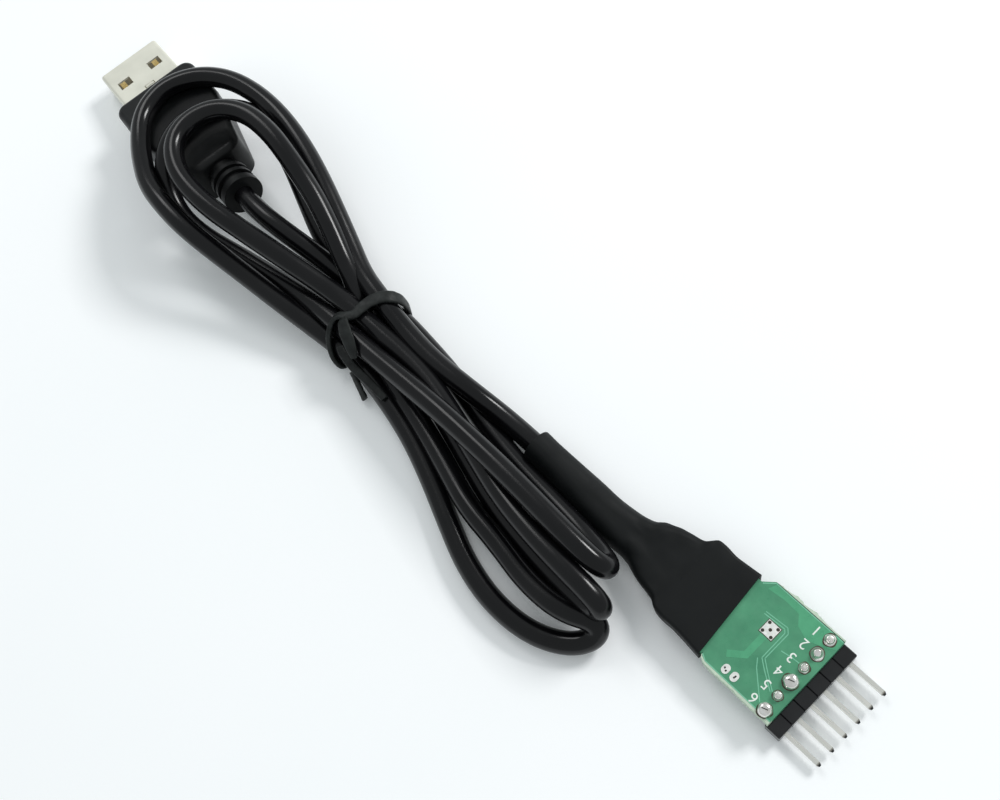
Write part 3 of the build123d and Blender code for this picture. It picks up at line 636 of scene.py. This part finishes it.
def rough_rim(outline, inner_y, seed):
    outer = between_rows([[*point, 0] for point in outline], 7)
    rings = []
    for level, reach in RIM_LEVELS:
        ring = []
        for x, y, _ in outer:
            out = reach + RIM_ROUGHNESS * noise.noise(Vector((x * 2.2, level, seed)))
            ring.append((x, y + math.copysign(1, y) * out, level))
        ring += [(outer[-1][0], inner_y, level), (outer[0][0], inner_y, level)]
        rings.append(ring)
    return skin(rings)


def add_rims(looks):
    rims = [rough_rim(LEFT_RIM, LEFT_RIM_INNER, 3), rough_rim(RIGHT_RIM, RIGHT_RIM_INNER, 8)]
    add_piece("board_rim", rims, looks["fibreglass"], sharp=50)


def add_mask(looks):
    strip = slab(MASK_STRIP, BOARD_TOP - 0.05, BOARD_TOP + STRIP_RISE)
    add_piece("mask_strip", [strip], looks["pcb"], smooth=False)
    pours = [slab(outline, BOARD_TOP, BOARD_TOP + POUR_RISE) for outline in (POUR, BEND_TRACE)]
    add_piece("mask_pour", pours, looks["mask_pour"], smooth=False)
    lines = []
    for trace in THIN_TRACES:
        lines += line_slabs(trace, THIN_TRACE_WIDTH, BOARD_TOP, BOARD_TOP + TRACE_RISE)
    for line in EDGE_LINES:
        lines += line_slabs(line, EDGE_LINE_WIDTH, BOARD_TOP, BOARD_TOP + LINE_RISE)
    add_piece("mask_lines", lines, looks["mask_line"], smooth=False)


def add_copper(looks):
    x, y = PAD_CENTRE
    corners = [(x + a * PAD_RIM, y + b * PAD_RIM) for a, b in ((-1, -1), (1, -1), (1, 1), (-1, 1))]
    rim = slab(corners, BOARD_TOP, BOARD_TOP + LINE_RISE)
    rings = [lathe(x + a, y + b, PAD_TOP, VIA_RING) for a, b in VIAS]
    add_piece("pad_rim", [rim, *rings], looks["bare_copper"], smooth=False)
    # A thin dark ring in the copper look round each joint's foot: painted shade at the edge of the solder
    # dome, not copper
    joint_shade_rings = []
    for (x, y), (foot, _, _) in zip(LEGS, JOINTS):
        shade_ring_profile = ((foot + 0.11, 0), (foot + 0.09, 0.03), (0, 0.03))
        joint_shade_rings.append(lathe(x, y, BOARD_TOP, shade_ring_profile, steps=32, uneven=0.2, seed=y))
    add_piece("joint_painted_shade_rings", joint_shade_rings, looks["bare_copper"], smooth=False)


def add_holes(looks):
    x, y = PAD_CENTRE
    # The via holes are near-black discs laid on the pad: painted shade inside the holes
    holes = [lathe(x + a, y + b, PAD_TOP, VIA_HOLE) for a, b in VIAS]
    for (x, y), marks in zip(LINK_PADS, LINK_MARKS):
        for a, b in marks:
            holes.append(lathe(x + a, y + b, PAD_TOP, LINK_MARK, steps=20, uneven=0.5, seed=a))
    # The slits are near-black slivers: painted shade in the crevices over the pin ends
    for (x, y), (_, _, open_top) in zip(LEGS, JOINTS):
        if not open_top:
            a, b = SLIT_REACH
            slit = ((x - a, y - b), (x + a, y + b))
            holes += line_slabs(slit, SLIT_WIDTH, BOARD_TOP + SLIT_LOW, BOARD_TOP + SLIT_HIGH)
    add_piece("dark_holes", holes, looks["hole_dark"], smooth=False)


def joint_profile(foot, height, open_top):
    if open_top:
        return (
            (foot, 0), (foot * 0.9, height * 0.12), (foot * 0.72, height * 0.4), (0.56, height * 0.75),
            (0.46, height), (0.34, height + 0.06), (0.0, height + 0.07),
        )
    return (
        (foot, 0), (foot * 0.99, height * 0.25), (foot * 0.93, height * 0.55),
        (foot * 0.78, height * 0.82), (foot * 0.5, height * 0.96), (foot * 0.2, height), (0.0, height),
    )


def add_joints(looks):
    for n, ((x, y), joint) in enumerate(zip(LEGS, JOINTS)):
        profile = between_rows(joint_profile(*joint), 4)
        shape = lathe(x, y, BOARD_TOP, profile, steps=40, uneven=0.12, seed=n * 3.7)
        piece = add_piece(f"joint_{n + 1}", [shape], looks["solder"], sharp=70)
        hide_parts(f"solder_joint_{n + 1}")


# Latch: the lip that nearly fills the cut in the plug's shell, laid in the plug's pitched frame
PLUG_PLACE = Vector((-125.88, -0.61, 0))
PLUG_FORWARD = Vector((-0.9842, 0.1010, -0.1455))
PLUG_SIDE = Vector((-0.1021, -0.9948, 0))
PLUG_UP = Vector((-0.1447, 0.0149, 0.9894))
LATCH_OUTLINE = ((1.95, -0.75), (2.3, -0.95), (2.52, -0.7), (2.52, 0.7), (2.3, 0.95), (1.95, 0.75))
LATCH_MIDDLE = 2.2
LATCH_LEVELS = ((5.95, 1.0), (6.17, 1.0), (6.23, 0.85))


def add_latch(looks):
    rings = []
    for level, size in LATCH_LEVELS:
        ring = []
        for ahead, aside in LATCH_OUTLINE:
            forward = LATCH_MIDDLE + (ahead - LATCH_MIDDLE) * size
            corner = PLUG_FORWARD * forward + PLUG_SIDE * aside * size + PLUG_UP * level
            ring.append(PLUG_PLACE + corner)
        rings.append(ring)
    add_piece("latch_lip", [skin(rings)], looks["shell_nickel"], smooth=False)


# Numbers: plain ones from 1 to 6, printed beside the joints
NUMBER_SIZE = 2.1
NUMBER_X = 17.7
NUMBER_SPREAD = 0.97


def add_numbers(looks):
    for n, (_, y) in enumerate(LEGS):
        text = bpy.data.curves.new(f"number_{n + 1}", "FONT")
        text.body = str(n + 1)
        text.size = NUMBER_SIZE * MM
        text.extrude = 0.008 * MM
        text.align_x = "CENTER"
        text.align_y = "CENTER"
        text.materials.append(looks["white_print"])
        number = bpy.data.objects.new(f"number_{n + 1}", text)
        number.location = mm(NUMBER_X, y * NUMBER_SPREAD, BOARD_TOP + LINE_RISE)
        number.rotation_euler = (0, 0, math.pi)
        bpy.context.collection.objects.link(number)
        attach(number, "root")


# Cable: one free cord from the sleeve's mouth, seven times through the tie, to the plug's strain relief.
# The stretches beside the sleeve and beside the plug repeat the route's points of the CAD source.
CABLE_DIAMETER = 3.4
SLEEVE_MOUTH = (-29.25, -0.75, 2.6)
RELIEF_MOUTH = (-94.47, -3.83, 8.69)
STRETCHES = {
    "module stretch": (SLEEVE_MOUTH, (-34.3, -0.75, 2.6), (-41.5, -1.75, 5.1), (-50.0, -2.4, 5.55),
                       (-58.0, -1.75, 5.9)),
    "outer loop": ((-63.5, -0.9, 6.4), (-69.0, 0.0, 6.6), (-74.5, 2.2, 7.3), (-80.2, 4.4, 8.4),
                   (-86.5, 6.7, 9.4), (-93.0, 8.6, 10.2), (-100.0, 9.9, 10.6), (-107.0, 10.1, 10.6),
                   (-113.5, 8.9, 10.6), (-118.6, 5.6, 10.6), (-121.2, 0.8, 10.6),
                   (-120.8, -3.7, 10.6), (-118.8, -7.0, 10.6), (-115.0, -9.9, 10.8),
                   (-111.2, -11.9, 11.3), (-106.4, -13.9, 11.8), (-100.8, -14.6, 12.0),
                   (-95.3, -14.7, 11.3), (-89.8, -14.0, 9.5), (-83.4, -13.0, 7.4),
                   (-76.0, -12.0, 5.5), (-68.5, -10.9, 3.8)),
    "low fold": ((-60.5, -9.95, 2.9), (-52.5, -11.0, 2.1), (-45.0, -12.55, 1.8),
                 (-38.0, -14.9, 1.7), (-31.0, -17.7, 1.7), (-24.5, -20.2, 1.7), (-17.5, -21.5, 1.7),
                 (-10.5, -20.9, 1.7), (-5.2, -18.3, 1.7), (-2.9, -14.9, 2.2), (-3.9, -13.2, 4.2),
                 (-8.6, -15.8, 5.2), (-15.0, -16.2, 4.9), (-22.0, -15.1, 4.4), (-29.5, -14.4, 3.8),
                 (-36.5, -12.4, 3.1), (-44.0, -10.4, 2.6), (-52.5, -8.8, 2.4)),
    "inner loop": ((-60.5, -7.1, 2.9), (-65.2, -4.7, 3.4), (-68.7, -1.9, 6.1), (-72.4, -0.5, 8.3),
                   (-77.1, 1.4, 9.6), (-83.0, 3.4, 11.6), (-89.4, 4.7, 13.4), (-95.9, 5.8, 14.5),
                   (-102.1, 5.4, 15.0), (-106.8, 2.4, 15.0), (-108.4, -2.3, 15.0),
                   (-106.7, -6.8, 15.0), (-101.5, -9.7, 14.7), (-94.0, -10.1, 13.9),
                   (-86.0, -8.7, 12.4), (-78.8, -7.2, 10.2), (-72.0, -5.6, 7.6),
                   (-66.0, -4.9, 6.3)),
    "middle fold": ((-60.0, -4.9, 6.0), (-54.0, -4.6, 5.6), (-48.0, -4.9, 5.3), (-41.5, -6.3, 5.2),
                    (-33.5, -8.3, 5.8), (-26.0, -10.2, 7.0), (-19.0, -11.1, 8.2),
                    (-12.0, -11.5, 8.9), (-5.6, -11.6, 8.6), (-3.8, -12.0, 6.6), (-7.4, -12.9, 5.0),
                    (-14.0, -12.8, 4.4), (-22.2, -12.2, 3.5), (-29.0, -11.0, 2.6),
                    (-35.5, -9.2, 2.2), (-42.0, -7.4, 2.0), (-51.0, -5.0, 2.2)),
    "second loop": ((-60.8, -3.5, 2.3), (-67.5, -2.3, 1.8), (-73.6, -1.0, 2.3), (-80.6, 0.4, 4.3),
                    (-86.7, 2.9, 6.2), (-92.6, 5.3, 7.6), (-99.0, 7.3, 8.9), (-104.8, 7.5, 9.8),
                    (-108.6, 4.9, 10.9), (-111.2, 0.6, 11.6), (-111.4, -3.6, 11.8),
                    (-109.9, -7.2, 11.8), (-107.7, -9.7, 11.2), (-106.3, -11.1, 10.0),
                    (-104.6, -12.2, 8.8), (-102.3, -13.0, 7.8), (-99.4, -13.4, 6.9),
                    (-94.9, -12.9, 5.8), (-89.3, -11.4, 4.8), (-81.9, -9.9, 4.4),
                    (-74.0, -8.7, 4.7)),
    "high fold": ((-66.3, -8.2, 5.8), (-59.0, -8.2, 6.2), (-51.5, -7.9, 7.2), (-42.5, -7.6, 8.5),
                  (-33.5, -7.6, 9.5), (-24.5, -7.8, 10.2), (-16.0, -8.2, 10.4), (-8.4, -8.3, 9.6),
                  (-7.0, -7.0, 7.0), (-12.5, -5.9, 4.5), (-19.0, -5.2, 2.8), (-29.5, -4.6, 1.9),
                  (-38.0, -3.3, 1.7), (-46.0, -1.6, 1.7), (-53.7, -0.8, 2.0)),
    "plug stretch": ((-61.0, -0.4, 2.8), (-66.5, -1.2, 3.5), (-72.0, -2.0, 4.9), (-77.6, -2.6, 6.3),
                     (-83.6, -3.7, 8.6), (-89.9, -4.3, 9.35), RELIEF_MOUTH),
}


def smooth_curve(name, points, radius, material):
    data = bpy.data.curves.new(name, "CURVE")
    data.dimensions = "3D"
    data.bevel_depth = radius * MM
    data.bevel_resolution = 8
    data.use_fill_caps = True
    data.resolution_u = 10
    spline = data.splines.new("NURBS")
    spline.points.add(len(points) - 1)
    for point, place in zip(spline.points, points):
        point.co = (*mm(*place), 1)
    spline.order_u = 3
    spline.use_endpoint_u = True
    data.materials.append(material)
    curve = bpy.data.objects.new(name, data)
    bpy.context.collection.objects.link(curve)
    return curve


def add_cable(looks, tie):
    route = [point for stretch in STRETCHES.values() for point in stretch]
    cable = smooth_curve("cable", route, CABLE_DIAMETER / 2, looks["cable_jacket"])
    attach(cable, "root")
    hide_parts("cable_hank", "cable_plug_side", "cable_module_side")


add_camera()
add_lights()
add_stage()
looks = dress_nodes()
add_sleeve(looks)
add_rims(looks)
add_mask(looks)
add_copper(looks)
add_holes(looks)
add_joints(looks)
add_numbers(looks)
add_latch(looks)
add_cable(looks, add_tie(looks))

bpy.context.scene.view_settings.view_transform = "Standard"
